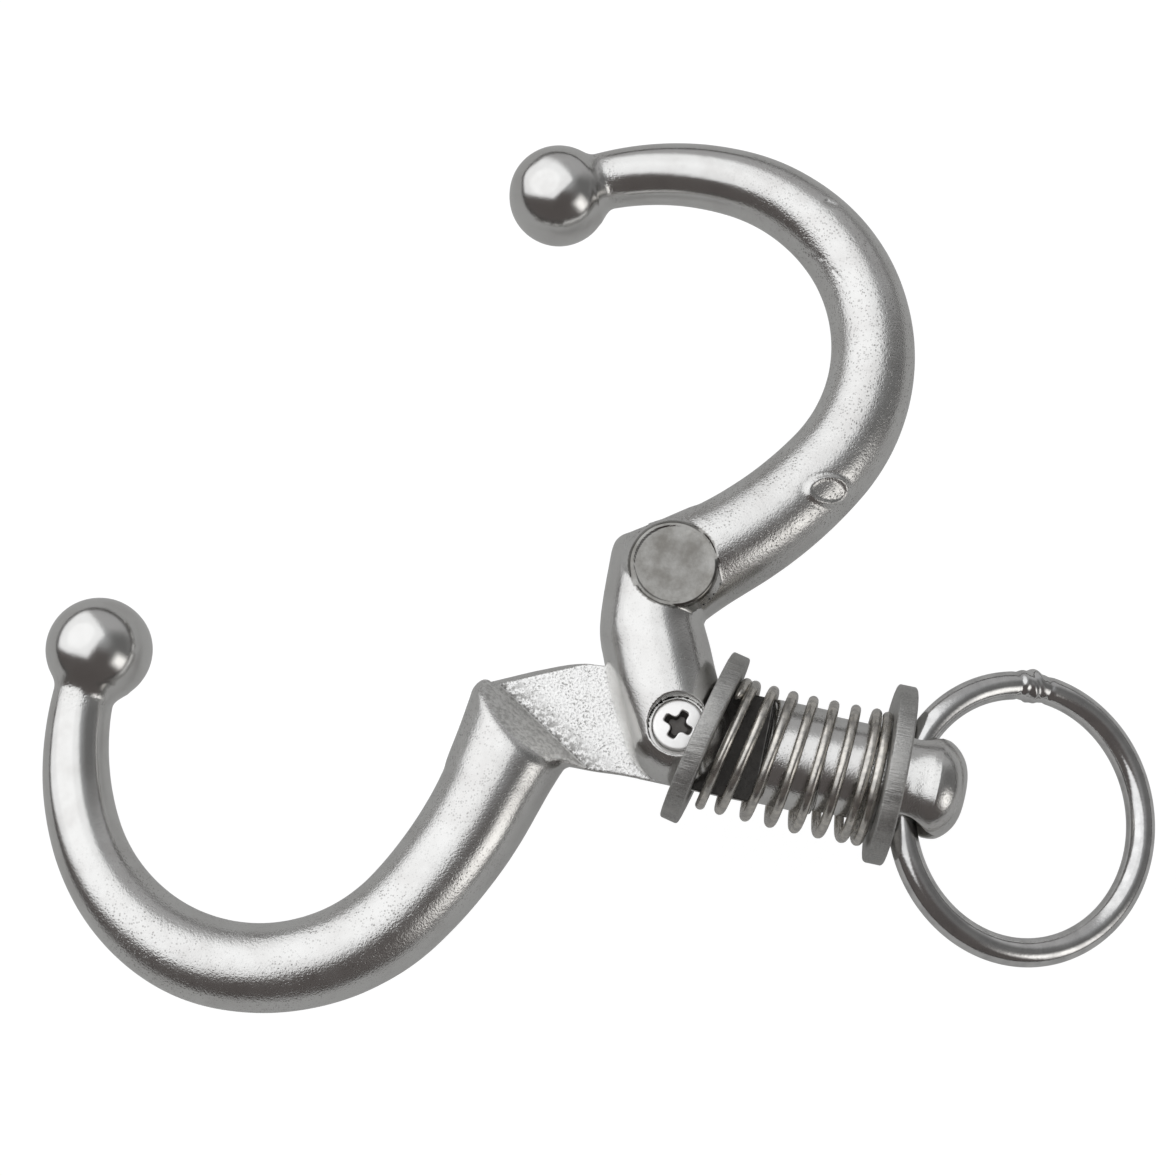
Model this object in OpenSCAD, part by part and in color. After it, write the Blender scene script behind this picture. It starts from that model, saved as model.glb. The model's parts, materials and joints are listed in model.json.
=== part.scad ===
// Two-hook spring clamp: two cast hooks joined by a half-lap pivot, closed by a
// sprung collar that slides over both necks, with a lead ring through the shank.
// Row frame: hooks lie in the XY plane, shank along X, pivot axis along Z,
// origin at the centre of the ring's eye. Millimetres.

/* [Hook arm] */
// Diameter of the ball at each hook tip
ball_d = 17.7; // [15:0.1:20]
// Arm diameter just behind the ball
tip_d = 9.5; // [9:0.1:11.5]
// Arm diameter at the knee
knee_d = 17.1; // [16:0.1:17.6]
// Swell of the arm into the ball, on the inside of the bend
ball_flare = 0.8; // [0:0.1:1.2]

/* [Necks and shank] */
// Radius of the round that both half-lapped necks make together
neck_r = 9.0; // [8.8:0.05:9.1]
// Radius of the shank behind the shoulder
fore_r = 8.8; // [8.6:0.05:9]
// Radius of the shank behind its step
shank_r = 8.0; // [7:0.1:8.5]
// Radius of the end knob
knob_r = 8.9; // [8.6:0.1:9.2]
// Pivot axis to the half-lap's shoulder
shoulder_x = 14.8; // [13:0.1:17]
// Pivot axis to the step down in the shank
step_x = 24.2; // [20:0.1:30]
// Pivot axis to the centre of the ring's eye
eye_x = 39.8; // [39.6:0.1:42]
// Pivot axis to the end of the knob
knob_end_x = 48.2; // [48:0.1:52]

/* [Pivot screw] */
// Screw shank diameter
screw_d = 5; // [4:0.5:5]
// Screw head diameter
screw_head_d = 8.8; // [8:0.1:9]
// Screw head height
screw_head_h = 2.3; // [2:0.1:2.5]
// Counterbore diameter in the moving neck
counterbore_d = 10; // [9.5:0.1:10.4]
// Counterbore floor above the mating faces
counterbore_floor = 5.0; // [4.5:0.1:5.4]

/* [Collar and washer] */
// Outer diameter of both washers
washer_d = 30; // [28:0.5:32]
// Bore of both washers
washer_bore = 19.6; // [19.5:0.1:19.7]
// Thickness of both washers
washer_t = 3.1; // [2.8:0.1:3.1]
// Pivot axis to the collar's centre, hook open
collar_x = 4.7; // [4.6:0.1:5.5]
// Lean of the collar against the open neck
collar_lean = 12.5; // [11:0.5:12.5]

/* [Spring] */
// Wire diameter
spring_wire = 1.7; // [1.6:0.1:2.1]
// Mean coil diameter
spring_d = 21.3; // [21.3:0.1:22]
// Coils between the closed ends
active_coils = 5.9; // [4:0.1:6.5]
// Closed coils at each end
closed_coils = 1.1; // [1.1:0.1:1.5]

/* [Ring] */
// Wire diameter
ring_wire = 4.8; // [4:0.1:4.8]
// Radius of the wire's centre line
ring_r = 22.3; // [22:0.1:24]
// Droop of the ring below the hook plane
ring_droop = 18.7; // [0:0.1:60]
// Diameter of the butt weld's bead
weld_d = 5.5; // [5:0.1:5.8]
// Place of the weld round the ring, from the far end
weld_angle = 97; // [60:1:150]

/* [Pose] */
// Rest angle of the moving hook from the shank's mirror image
open_angle = 61.8; // [20:0.1:90]
// The same angle with the balls nearly meeting
closed_angle = 6.5; // [5:0.1:9]

/* [Hidden] */
$fn = 64;

lap_gap = 0.05;          // each mating face stands this far off the hook plane
running_gap = 0.08;      // radial clearance of the screw in the moving hook
edge = 0.35;             // broken edge of the washers
sides = 24;              // facets round an arm
wire_sides = 8;          // facets round the spring wire

// Arm centre line: tangent arcs [radius, sweep] from the ball to the knee
ball_pos = [-98.5, -6.9];
arm_heading = -98.3;
arm_arcs = [[45.8, 40.0], [32.35, 116.5], [72.2, 18]];
arcs_done = len(arm_arcs);
function arc_len(i) = arm_arcs[i][0] * arm_arcs[i][1] * PI / 180;
function arc_start(i) = i == 0 ? 0 : arc_start(i - 1) + arc_len(i - 1);
function arc_heading(i) = i == 0 ? arm_heading : arc_heading(i - 1) + arm_arcs[i - 1][1];
function unit(a) = [cos(a), sin(a)];
function arc_from(i) = i == 0 ? ball_pos : arc_point(i - 1, arm_arcs[i - 1][1]);
function arc_point(i, turn) =
    let (r = arm_arcs[i][0], h = arc_heading(i))
    arc_from(i) + r * (unit(h - 90 + turn) - unit(h - 90));
arm_len = arc_start(arcs_done);
function arc_index(s) = s >= arc_start(2) ? 2 : s >= arc_start(1) ? 1 : 0;
function arc_turn(s) = (s - arc_start(arc_index(s))) / arm_arcs[arc_index(s)][0] * 180 / PI;
function arm_at(s) = arc_point(arc_index(s), arc_turn(s));
function heading_at(s) = arc_heading(arc_index(s)) + arc_turn(s);

// Arm diameter: a taper with a slight belly, filleted to the ball on the inside
flare_from = 6;
flare_to = 9.5;
function flare(s) =
    s > flare_to ? 0 : ball_flare * pow(min(1, (flare_to - s) / (flare_to - flare_from)), 2);
taper_belly = 0.02;
fixed_swell = 0.7;       // the two castings differ: swell outside each bend's bottom
moving_swell = 0.15;
function swell(s) = exp(-pow((s - 58) / 15, 2));
function taper(t) = t + taper_belly * sin(180 * t);
function arm_d(s) = tip_d + (knee_d - tip_d) * taper(s / arm_len);

// Knee: pairs of outline points, [inside of the bend, outside of the bend], the last
// of them sunk in the neck's round
neck_x = -15.2;
sunk_r = neck_r - 0.3;
knee = [
    [[-18.9, -14.9], [-36.5, -12.4]],
    [[-17.8, -11.7], [-35.7, -6.6]],
    [[-17.4, -10.7], [-35.2, -2.1]],
    [[-17.2, -10.2], [-34.9, 0.1]],
    [[-17.0, -9.95], [-33.5, 1.85]],
    [[-16.8, -9.75], [-30, 3.7]],
    [[-16.5, -9.55], [-25, 6.1]],
    [[-16.0, -9.45], [-20, 7.95]],
    [[-12.3, -9.35], [-15, 8.5]],
    [[-7.2, -sunk_r], [-9, sunk_r]]
];

// Mating wall of the knee: its foot line's direction and offset, and its slope
wall_turn = 58.2;        // direction in which the wall faces
wall_foot = -14.9;       // offset of its foot along that direction
wall_slope = 0.62;       // run back per unit of height
wall_relief = 0.15;      // air left between a neck and the other hook's wall
relief_h = 3;
lap_h = 12;
reach = 40;

// Medallion on the moving hook's knee
medal_pos = [-26.1, -6.8];
medal_r = 7.2;
medal_z = 8.0;
medal_skirt = 1.3;

// Eye: a loose throat that flares to a mouth each side, so that the ring can swing
ring_slack = 1.6;        // the wire is drawn this far off the eye's axis, away from the ring
throat_r = ring_slack + ring_wire / 2 + 0.1;
throat_half = 4;
mouth_r = 4.9;
mouth_y = 9.6;

knob_x = eye_x - 1.6;
knob_round = 6.5;
knob_y = -0.35;
ring_clear = 0.06;       // air between the rear washer and the ring, ring square on
rear_washer_x = eye_x - ring_wire / 2 - ring_clear - washer_t;
rear_washer_y = 0.4;     // the slack washer hangs this far off the shank's axis
ring_y = -0.8;           // and the ring this far along its eye
spring_front = collar_x + (washer_t / 2 + 0.02 + spring_wire / 2) / cos(collar_lean);
spring_back = rear_washer_x - 0.02 - spring_wire / 2;
closed_pitch = spring_wire + 0.05;
active_pitch = (spring_back - spring_front - 2 * closed_coils * closed_pitch) / active_coils;
spring_turns = active_coils + 2 * closed_coils;
spring_start = 53;       // angle of the wire's front end round the shank
spring_steps = 20;       // rings per turn
spring_sag = [0.25, 0.45, 0.4]; // how far the slack coils hang off the shank's axis

// A closed tube through a list of rings with equal numbers of points
module tube(rings) {
    n = len(rings[0]);
    last = len(rings) - 1;
    sides_faces = [
        for (i = [0 : last - 1], k = [0 : n - 1], half = [0, 1])
            let (a = i * n + k, b = i * n + (k + 1) % n)
            half == 0 ? [a, b + n, b] : [a, a + n, b + n]
    ];
    caps = [[for (k = [0 : n - 1]) k], [for (k = [n - 1 : -1 : 0]) last * n + k]];
    polyhedron(points = [for (r = rings, p = r) p], faces = concat(sides_faces, caps));
}

// Ring of points standing on the line from a to b, as high as h each way
function section(a, b, h) = [
    for (k = [0 : sides - 1])
        let (m = (a + b) / 2 + (b - a) / 2 * cos(k * 360 / sides))
        [m.x, m.y, h * sin(k * 360 / sides)]
];
function arm_section(s, swelling) =
    let (c = arm_at(s), inward = unit(heading_at(s) + 90), r = arm_d(s) / 2, w = swelling * swell(s))
    section(c - inward * (r + w), c + inward * (r + 2 * flare(s)), r + w / 2 + flare(s));
arm_stations = concat([4, 6, 7, 8, 9.5], [for (i = [1 : 30]) 11 + (arm_len - 11) * i / 30]);
knee_rise = [for (i = [0 : len(knee) - 1]) knee_d / 2 + (sunk_r - knee_d / 2) * i / (len(knee) - 1)];

// Outline profile in (distance along the wall's facing, height), swept along the wall
module along_wall(profile, from, to) {
    rotate([0, 0, wall_turn])
        translate([0, from, 0])
            rotate([90, 0, 0])
                mirror([0, 0, 1])
                    linear_extrude(to - from)
                        polygon(profile);
}

// Room taken from the upper half of the casting for the other neck
module lap_room(end_x) {
    intersection() {
        along_wall([
            [wall_foot, -lap_gap],
            [wall_foot - wall_slope * lap_h, lap_h],
            [reach, lap_h],
            [reach, -lap_gap]
        ], -reach, reach);
        translate([-reach, -reach, -1])
            cube([reach + end_x, 2 * reach, lap_h + 2]);
    }
}

// Sliver taken off the neck's outer edge, where the other hook's wall closes on it
module wall_room() {
    foot = wall_foot + wall_relief;
    rotate([0, 0, -closed_angle])
        rotate([180, 0, 0])
            along_wall([
                [foot, -1],
                [foot, 0],
                [foot - wall_slope * relief_h, relief_h],
                [foot - 6, relief_h],
                [foot - 6, -1]
            ], 6, 31);
}

// Ball, tapered arm and knee, whole round
module arm_and_knee(swelling) {
    translate([ball_pos.x, ball_pos.y, 0])
        sphere(d = ball_d);
    tube(concat(
        [for (s = arm_stations) arm_section(s, swelling)],
        [for (i = [0 : len(knee) - 1]) section(knee[i][0], knee[i][1], knee_rise[i])]
    ));
}

module along_x(from, to, r) {
    translate([from, 0, 0])
        rotate([0, 90, 0])
            cylinder(h = to - from, r = r);
}

// Round shank with its step, turned about X
module shank() {
    rotate([0, 90, 0])
        rotate_extrude()
            polygon([
                [0, neck_x], [neck_r, neck_x], [neck_r, shoulder_x], [fore_r, shoulder_x],
                [fore_r, step_x], [shank_r, step_x + 0.6], [shank_r, knob_x + 2], [0, knob_x + 2]
            ]);
}

// Knob with a domed end, cast a little off the shank's axis
module knob() {
    dome_x = knob_end_x - knob_round;
    dome_y = knob_r - knob_round;
    translate([0, knob_y, 0])
        rotate([0, 90, 0])
            rotate_extrude()
                polygon(concat(
                    [[0, knob_x - 0.5], [knob_r - 0.8, knob_x - 0.5], [knob_r, knob_x]],
                    [for (a = [0 : 10 : 90]) [dome_y + knob_round * cos(a), dome_x + knob_round * sin(a)]],
                    [[0, knob_end_x]]
                ));
}

module eye_room() {
    translate([eye_x, 0, 0])
        rotate([90, 0, 0])
            rotate_extrude()
                polygon([
                    [0, -mouth_y], [mouth_r, -mouth_y], [throat_r, -throat_half],
                    [throat_r, throat_half], [mouth_r, mouth_y], [0, mouth_y]
                ]);
}

module fixed_hook() {
    color("silver")
        difference() {
            union() {
                arm_and_knee(fixed_swell);
                shank();
                knob();
            }
            lap_room(shoulder_x);
            wall_room();
            eye_room();
            translate([0, 0, -neck_r - 1])
                cylinder(h = neck_r + 2, d = screw_d);
        }
}

// Disc on the knee: the ridge is pressed flat inside it and its skirt slopes off
module medal() {
    translate([medal_pos.x, medal_pos.y, -medal_z])
        children();
}

module moving_hook() {
    color("silver")
        rotate([0, 0, -open_angle])
            rotate([180, 0, 0])
                difference() {
                    union() {
                        difference() {
                            union() {
                                arm_and_knee(moving_swell);
                                along_x(neck_x, 0, neck_r);
                                sphere(r = neck_r);
                            }
                            medal() mirror([0, 0, 1]) cylinder(h = 4, r = medal_r);
                        }
                        medal() cylinder(h = 2, r1 = medal_r, r2 = medal_r + medal_skirt);
                    }
                    lap_room(reach);
                    wall_room();
                    translate([0, 0, -neck_r - 1])
                        cylinder(h = neck_r + 2, d = screw_d + 2 * running_gap);
                    translate([0, 0, -counterbore_floor - neck_r])
                        cylinder(h = neck_r, d = counterbore_d);
                }
}

module pivot_screw() {
    head_z = counterbore_floor + 0.05;
    slot_len = 5.2;
    slot_w = 1.25;
    slot_depth = 1.5;
    color("gainsboro")
        difference() {
            union() {
                translate([0, 0, -neck_r + 0.4])
                    cylinder(h = neck_r - 0.4 + head_z + 0.1, d = screw_d);
                translate([0, 0, head_z])
                    cylinder(h = screw_head_h - 0.3, d = screw_head_d);
                translate([0, 0, head_z + screw_head_h - 0.3])
                    cylinder(h = 0.3, d1 = screw_head_d, d2 = screw_head_d - 0.6);
            }
            for (turn = [0, 90])
                rotate([0, 0, turn - 19])
                    translate([-slot_len / 2, -slot_w / 2, head_z + screw_head_h - slot_depth])
                        cube([slot_len, slot_w, slot_depth + 1]);
        }
}

// Flat washer about X, from x = 0 to its thickness
module washer() {
    rotate([0, 90, 0])
        rotate_extrude()
            polygon([
                [washer_bore / 2, edge], [washer_bore / 2 + edge, 0],
                [washer_d / 2 - edge, 0], [washer_d / 2, edge],
                [washer_d / 2, washer_t - edge], [washer_d / 2 - edge, washer_t],
                [washer_bore / 2 + edge, washer_t], [washer_bore / 2, washer_t - edge]
            ]);
}

module lock_collar() {
    color("dimgray")
        translate([collar_x, 0, 0])
            rotate([0, 0, -collar_lean])
                translate([-washer_t / 2, 0, 0])
                    washer();
}

module rear_washer() {
    color("dimgray")
        translate([rear_washer_x, rear_washer_y, 0])
            washer();
}

// Spring: distance along the shank after p turns, and the wire's own ring there
function coil_x(p) =
    spring_front
    + closed_pitch * (min(p, closed_coils) + max(p - closed_coils - active_coils, 0))
    + active_pitch * min(max(p - closed_coils, 0), active_coils);
function coil_share(p) = (coil_x(p) - spring_front) / (spring_back - spring_front);
function coil_point(p) =
    let (
        a = spring_start - 360 * p,
        share = coil_share(p),
        y = spring_d / 2 * cos(a)
    )
    [
        coil_x(p) + y * tan(collar_lean) * pow(1 - share, 2.2),
        y - spring_sag[0] - spring_sag[1] * share - spring_sag[2] * sin(180 * share),
        spring_d / 2 * sin(a)
    ];
function coil_ring(p) =
    let (a = spring_start - 360 * p, c = coil_point(p))
    [
        for (k = [0 : wire_sides - 1])
            let (t = k * 360 / wire_sides, out = spring_wire / 2 * cos(t))
            c + [spring_wire / 2 * sin(t), out * cos(a), out * sin(a)]
    ];

module spring() {
    steps = round(spring_turns * spring_steps);
    color("lightgray")
        tube([for (i = [0 : steps]) coil_ring(spring_turns * i / steps)]);
}

module ring() {
    color("silver")
        translate([eye_x, 0, 0])
            rotate([0, ring_droop, 0])
                translate([ring_r - ring_slack, ring_y, 0]) {
                    rotate_extrude()
                        translate([ring_r, 0])
                            circle(d = ring_wire);
                    rotate([0, 0, weld_angle])
                        translate([ring_r, 0, 0])
                            sphere(d = weld_d);
                }
}

// The pieces are drawn about the pivot; the row's origin is the ring's eye
module placed() {
    translate([-eye_x, 0, 0])
        children();
}

placed() fixed_hook();
placed() moving_hook();
placed() pivot_screw();
placed() lock_collar();
placed() spring();
placed() rear_washer();
placed() ring();
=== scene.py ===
"""Looks of the two-hook spring clamp: castings, screw, washers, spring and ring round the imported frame.

Shapes are worked out in millimetres about the pivot, in the row's directions, and go to the row frame
in metres when their meshes are made.
"""

import json
from math import cos, pi, radians, sin, tan

import bpy
import numpy as np
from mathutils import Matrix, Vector


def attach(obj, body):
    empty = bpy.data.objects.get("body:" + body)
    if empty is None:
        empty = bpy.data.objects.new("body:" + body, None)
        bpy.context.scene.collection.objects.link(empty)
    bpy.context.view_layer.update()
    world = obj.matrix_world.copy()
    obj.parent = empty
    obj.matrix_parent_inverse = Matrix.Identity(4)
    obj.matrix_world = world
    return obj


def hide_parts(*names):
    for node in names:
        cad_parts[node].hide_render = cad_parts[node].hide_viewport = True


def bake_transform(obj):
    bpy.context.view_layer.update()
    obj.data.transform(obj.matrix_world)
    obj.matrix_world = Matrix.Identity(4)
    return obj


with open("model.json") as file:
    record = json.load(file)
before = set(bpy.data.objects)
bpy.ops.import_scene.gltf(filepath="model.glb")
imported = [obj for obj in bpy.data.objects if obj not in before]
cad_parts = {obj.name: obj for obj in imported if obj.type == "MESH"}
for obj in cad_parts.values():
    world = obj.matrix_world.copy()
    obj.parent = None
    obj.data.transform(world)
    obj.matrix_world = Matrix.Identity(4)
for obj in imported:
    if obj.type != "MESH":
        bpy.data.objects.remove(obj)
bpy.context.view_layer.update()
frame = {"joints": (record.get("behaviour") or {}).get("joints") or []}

MM = 0.001
PIVOT = Vector(next(j for j in frame["joints"] if j["name"] == "jaw_pivot")["pos_m"])
EYE_X = -PIVOT.x / MM

# ------------------------------ dimensions shared with the part's source
BALL_R = 8.85
BALL_AT = (-98.5, -6.9)
TIP_D, KNEE_D, BELLY = 9.5, 17.1, 0.02
ARM_HEADING = -98.3
ARM_ARCS = ((45.8, 40.0), (32.35, 116.5), (72.2, 18.0))  # radius, sweep in degrees
FLARE, FLARE_FROM, FLARE_TO = 0.8, 6.0, 9.5
SWELL = {"fixed_hook": 0.7, "moving_hook": 0.15}
SWELL_AT, SWELL_LEN = 58.0, 15.0
NECK_R, FORE_R, SHANK_R, KNOB_R = 9.0, 8.8, 8.0, 8.9
SHOULDER_X, STEP_X = 14.8, 24.2
KNOB_X, KNOB_END, KNOB_ROUND, KNOB_Y = EYE_X - 1.6, 48.2, 6.5, -0.35
KNEE = (  # outline pairs, inside and outside of the bend; the last two lie in the neck's round
    ((-18.9, -14.9), (-36.5, -12.4)),
    ((-17.8, -11.7), (-35.7, -6.6)),
    ((-17.4, -10.7), (-35.2, -2.1)),
    ((-17.2, -10.2), (-34.9, 0.1)),
    ((-17.0, -9.95), (-33.5, 1.85)),
    ((-16.8, -9.75), (-30.0, 3.7)),
    ((-16.5, -9.55), (-25.0, 6.1)),
    ((-16.0, -9.45), (-20.0, 7.95)),
    ((-12.3, -9.35), (-15.0, 8.5)),
    ((-7.2, -NECK_R), (-9.0, NECK_R)),
    ((-1.2, -NECK_R), (-3.0, NECK_R)),
)
WALL_TURN, WALL_FOOT, WALL_SLOPE = 58.2, -14.9, 0.62
WALL_RELIEF, RELIEF_H, LAP_GAP = 0.15, 3.0, 0.05
SLIVER_DEPTH, SLIVER_AT, SLIVER_HALF = 6.0, 18.5, 12.5
OPEN_ANGLE, CLOSED_ANGLE = 61.8, 6.5
SCREW_D, HEAD_D, HEAD_H, SCREW_TURN = 5.0, 8.8, 2.3, -19.0
BORE_CLEAR, COUNTERBORE_D, COUNTERBORE_FLOOR = 0.08, 10.0, 5.0
HEAD_BASE = COUNTERBORE_FLOOR + 0.05
MEDAL_AT, MEDAL_R, MEDAL_Z, MEDAL_SKIRT = (-26.1, -6.8), 7.2, 8.0, 1.3
RING_WIRE, RING_R, RING_DROOP, RING_Y, RING_SLACK = 4.8, 22.3, 18.7, -0.8, 1.6
WELD_ANGLE = 97.0
THROAT_R, THROAT_HALF, MOUTH_R, MOUTH_Y = RING_SLACK + RING_WIRE / 2 + 0.1, 4.0, 4.9, 9.6
WASHER_D, WASHER_BORE, WASHER_T = 30.0, 19.6, 3.1
COLLAR_X, COLLAR_LEAN = 4.7, 12.5
REAR_X, REAR_Y = EYE_X - RING_WIRE / 2 - 0.06 - WASHER_T, 0.4
SPRING_WIRE, SPRING_D = 1.7, 21.3
ACTIVE_COILS, CLOSED_COILS = 5.9, 1.1
SPRING_START, SPRING_SAG = 53.0, (0.25, 0.45, 0.4)
SPRING_FRONT = COLLAR_X + (WASHER_T / 2 + 0.02 + SPRING_WIRE / 2) / cos(radians(COLLAR_LEAN))
SPRING_BACK = REAR_X - 0.02 - SPRING_WIRE / 2

# finer forms, which the source leaves out or has plainer
NECK_START, NECK_LEAN = -5.5, 0.1  # where the neck's round begins, and its slant there
CAP_WAY, CAP_SHIFT, CAP_EDGE = (-0.28, 0.08, -0.95), 2.0, 30.0  # the cap that polishing flattened
MEDAL_RIM, MEDAL_DISH = 0.11, 0.13
HEAD_CROWN, WASHER_EDGE = 0.25, 0.4
RECESS_REACH, RECESS_HALF, RECESS_DEPTH = 2.6, 0.72, 1.6

# widths over which two surfaces blend where they meet
BALL_FILLET, STEP_FILLET, SHANK_FILLET, KNOB_FILLET, SKIRT_FILLET = 1.1, 0.3, 0.4, 1.6, 0.35
WALL_FOOT_ROUND, LIP_ROUND, LIP_ROUND_MORE, LIP_HEIGHT = 0.5, 0.45, 1.3, 4.0
SLIVER_ROUND, BORE_ROUND, COUNTERBORE_ROUND, EYE_ROUND, MEDAL_ROUND = 0.3, 0.2, 0.4, 0.7, 0.3
HEAD_ROUND, RECESS_ROUND, CAP_ROUND = 0.7, 0.2, 0.12

HOOK_CELL, SCREW_CELL = 0.3, 0.12  # sizes of the nets' cells
NET_STEPS = 4  # times that a net's points are moved onto the surface
KNEE_X, KNEE_Y, FAR = (-42, -1), (-32, 12), 9.0  # a box round the knee, and a distance well off it


# ------------------------------ solids as fields: below zero is inside
def smooth_max(a, b, k):
    """The larger of two fields, with the corner where they are equal rounded over a width k."""
    h = np.clip(0.5 + 0.5 * (a - b) / k, 0, 1)
    return b + (a - b) * h + k * h * (1 - h)


def smooth_min(a, b, k):
    return -smooth_max(-a, -b, k)


def unit(degrees):
    return np.array([cos(radians(degrees)), sin(radians(degrees))])


def turned(x, y, degrees):
    """Coordinates of the points in axes turned by that angle."""
    c, s = unit(degrees)
    return c * x + s * y, c * y - s * x


def wave(p, length, seed):
    """A slow, even ripple between -1 and 1, the same every run."""
    total = 0
    for i in range(3):
        way = np.array([sin(seed + 2.1 * i), cos(1.7 * seed + 3.3 * i), sin(2.3 * seed - 1.3 * i)])
        total = total + np.sin(p @ way * (2 * pi / length) * (1 + 0.37 * i) + seed * (i + 1))
    return total / 3


def arm_path():
    """Arcs of the arm's centre line: (centre, radius, middle direction, half sweep, length so far)."""
    arcs, start, heading, length = [], np.array(BALL_AT), ARM_HEADING, 0.0
    for radius, sweep in ARM_ARCS:
        centre = start - radius * unit(heading - 90)
        arcs.append((centre, radius, heading - 90 + sweep / 2, sweep / 2, length))
        start = centre + radius * unit(heading - 90 + sweep)
        heading += sweep
        length += radius * radians(sweep)
    return arcs, length


ARCS, ARM_LEN = arm_path()


def arm_radius(s):
    t = s / ARM_LEN
    return (TIP_D + (KNEE_D - TIP_D) * (t + BELLY * np.sin(pi * t))) / 2


def arm_near(p, swelling=0.0):
    """Distance off the arm's surface, and how far along the arm, for each point."""
    best = along = None
    for centre, radius, middle, half, start in ARCS:
        rel = p[:, :2] - centre
        turn = (np.degrees(np.arctan2(rel[:, 1], rel[:, 0])) - middle + 180) % 360 - 180
        turn = np.clip(turn, -half, half)
        a = np.radians(middle + turn)
        s = start + radius * np.radians(turn + half)
        flare = FLARE * np.clip((FLARE_TO - s) / (FLARE_TO - FLARE_FROM), 0, 1) ** 2
        swell = swelling / 2 * np.exp(-(((s - SWELL_AT) / SWELL_LEN) ** 2))
        reach = radius - flare + swell
        dx, dy = rel[:, 0] - reach * np.cos(a), rel[:, 1] - reach * np.sin(a)
        d = np.sqrt(dx * dx + dy * dy + p[:, 2] ** 2) - arm_radius(s) - flare - swell
        if best is None:
            best, along = d, s
        else:
            closer = d < best
            best, along = np.where(closer, d, best), np.where(closer, s, along)
    return best, along


def smooth_rows(rows, parts=6):
    """More rows between the given ones, along smooth curves through them."""
    out = []
    for i in range(len(rows) - 1):
        before, after = rows[max(i - 1, 0)], rows[min(i + 2, len(rows) - 1)]
        m0, m1 = (rows[i + 1] - before) / 2, (after - rows[i]) / 2
        for t in np.linspace(0, 1, parts + 1)[:-1]:
            rise = 3 * t**2 - 2 * t**3
            curve = np.array([1 - rise, t**3 - 2 * t**2 + t, rise, t**3 - t**2])
            out.append(curve @ np.array([rows[i], m0, rows[i + 1], m1]))
    return np.array([*out, rows[-1]])


def knee_sections():
    """Inside points, outside points and half heights of close sections through the knee."""
    rows = []
    centre, radius, middle, half, start = ARCS[-1]
    for s in (ARM_LEN - 9, ARM_LEN - 4.5, ARM_LEN):
        way = unit(middle - half + np.degrees((s - start) / radius))
        r = arm_radius(s)
        rows.append([*(centre + (radius + r) * way), *(centre + (radius - r) * way), r])
    for i, (inner, outer) in enumerate(KNEE):
        share = min(i / (len(KNEE) - 2), 1)
        rows.append([*inner, *outer, KNEE_D / 2 + (NECK_R - KNEE_D / 2) * share])
    rows = smooth_rows(np.array(rows))
    return rows[:, 0:2], rows[:, 2:4], rows[:, 4]


KNEE_IN, KNEE_OUT, KNEE_RISE = knee_sections()


def knee_field(p):
    """The knee as a loft: each point is set between the two sections that hold it."""
    d = np.full(len(p), FAR)
    low, high = np.array((KNEE_X, KNEE_Y)).T
    near = np.nonzero(((p[:, :2] > low) & (p[:, :2] < high)).all(1))[0]
    q = p[near]
    across = KNEE_OUT - KNEE_IN
    side = (across[:, 0] * (q[:, 1:2] - KNEE_IN[:, 1]) - across[:, 1] * (q[:, 0:1] - KNEE_IN[:, 0])).T
    passed = side <= 0
    last = np.where(passed.any(0), len(side) - 1 - np.argmax(passed[::-1], 0), -1)
    held = (last >= 0) & (last < len(side) - 1)
    cols = np.nonzero(held)[0]
    i = last[cols]
    t = side[i, cols] / (side[i, cols] - side[i + 1, cols])
    a = KNEE_IN[i] + (KNEE_IN[i + 1] - KNEE_IN[i]) * t[:, None]
    b = KNEE_OUT[i] + (KNEE_OUT[i + 1] - KNEE_OUT[i]) * t[:, None]
    rise = KNEE_RISE[i] + (KNEE_RISE[i + 1] - KNEE_RISE[i]) * t
    span = b - a
    wide = np.sqrt((span**2).sum(1))
    u = ((q[cols, :2] - (a + b) / 2) * span).sum(1) / wide**2 * 2
    d[near[cols]] = (np.sqrt(u**2 + (q[cols, 2] / rise) ** 2) - 1) * np.minimum(wide / 2, rise)
    return d


def rod(x, across, start, end, radius, round_r=0.4):
    """Round rod between two stations of x, its ends' edges rounded."""
    a = across - radius + round_r
    b = np.maximum(start - x, x - end) + round_r
    return np.hypot(np.maximum(a, 0), np.maximum(b, 0)) + np.minimum(np.maximum(a, b), 0) - round_r


def wall_run(w, z):
    """How far a point stands in front of the knee's sloping wall."""
    return (w - WALL_FOOT + WALL_SLOPE * z) / np.hypot(1, WALL_SLOPE)


def ball_field(p, moving):
    """The ball, with the cap that polishing has flattened on the moving one."""
    rel = p - np.array([*BALL_AT, 0])
    ball = np.sqrt((rel**2).sum(1)) - BALL_R
    if moving:
        way = np.array(CAP_WAY) / np.linalg.norm(CAP_WAY)
        cap = np.sqrt(((rel + CAP_SHIFT * way) ** 2).sum(1)) - BALL_R - CAP_SHIFT * cos(radians(CAP_EDGE))
        ball = smooth_max(ball, cap, CAP_ROUND)
    return ball + 0.05 * wave(p, 11.0, 2.2 + moving)


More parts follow.
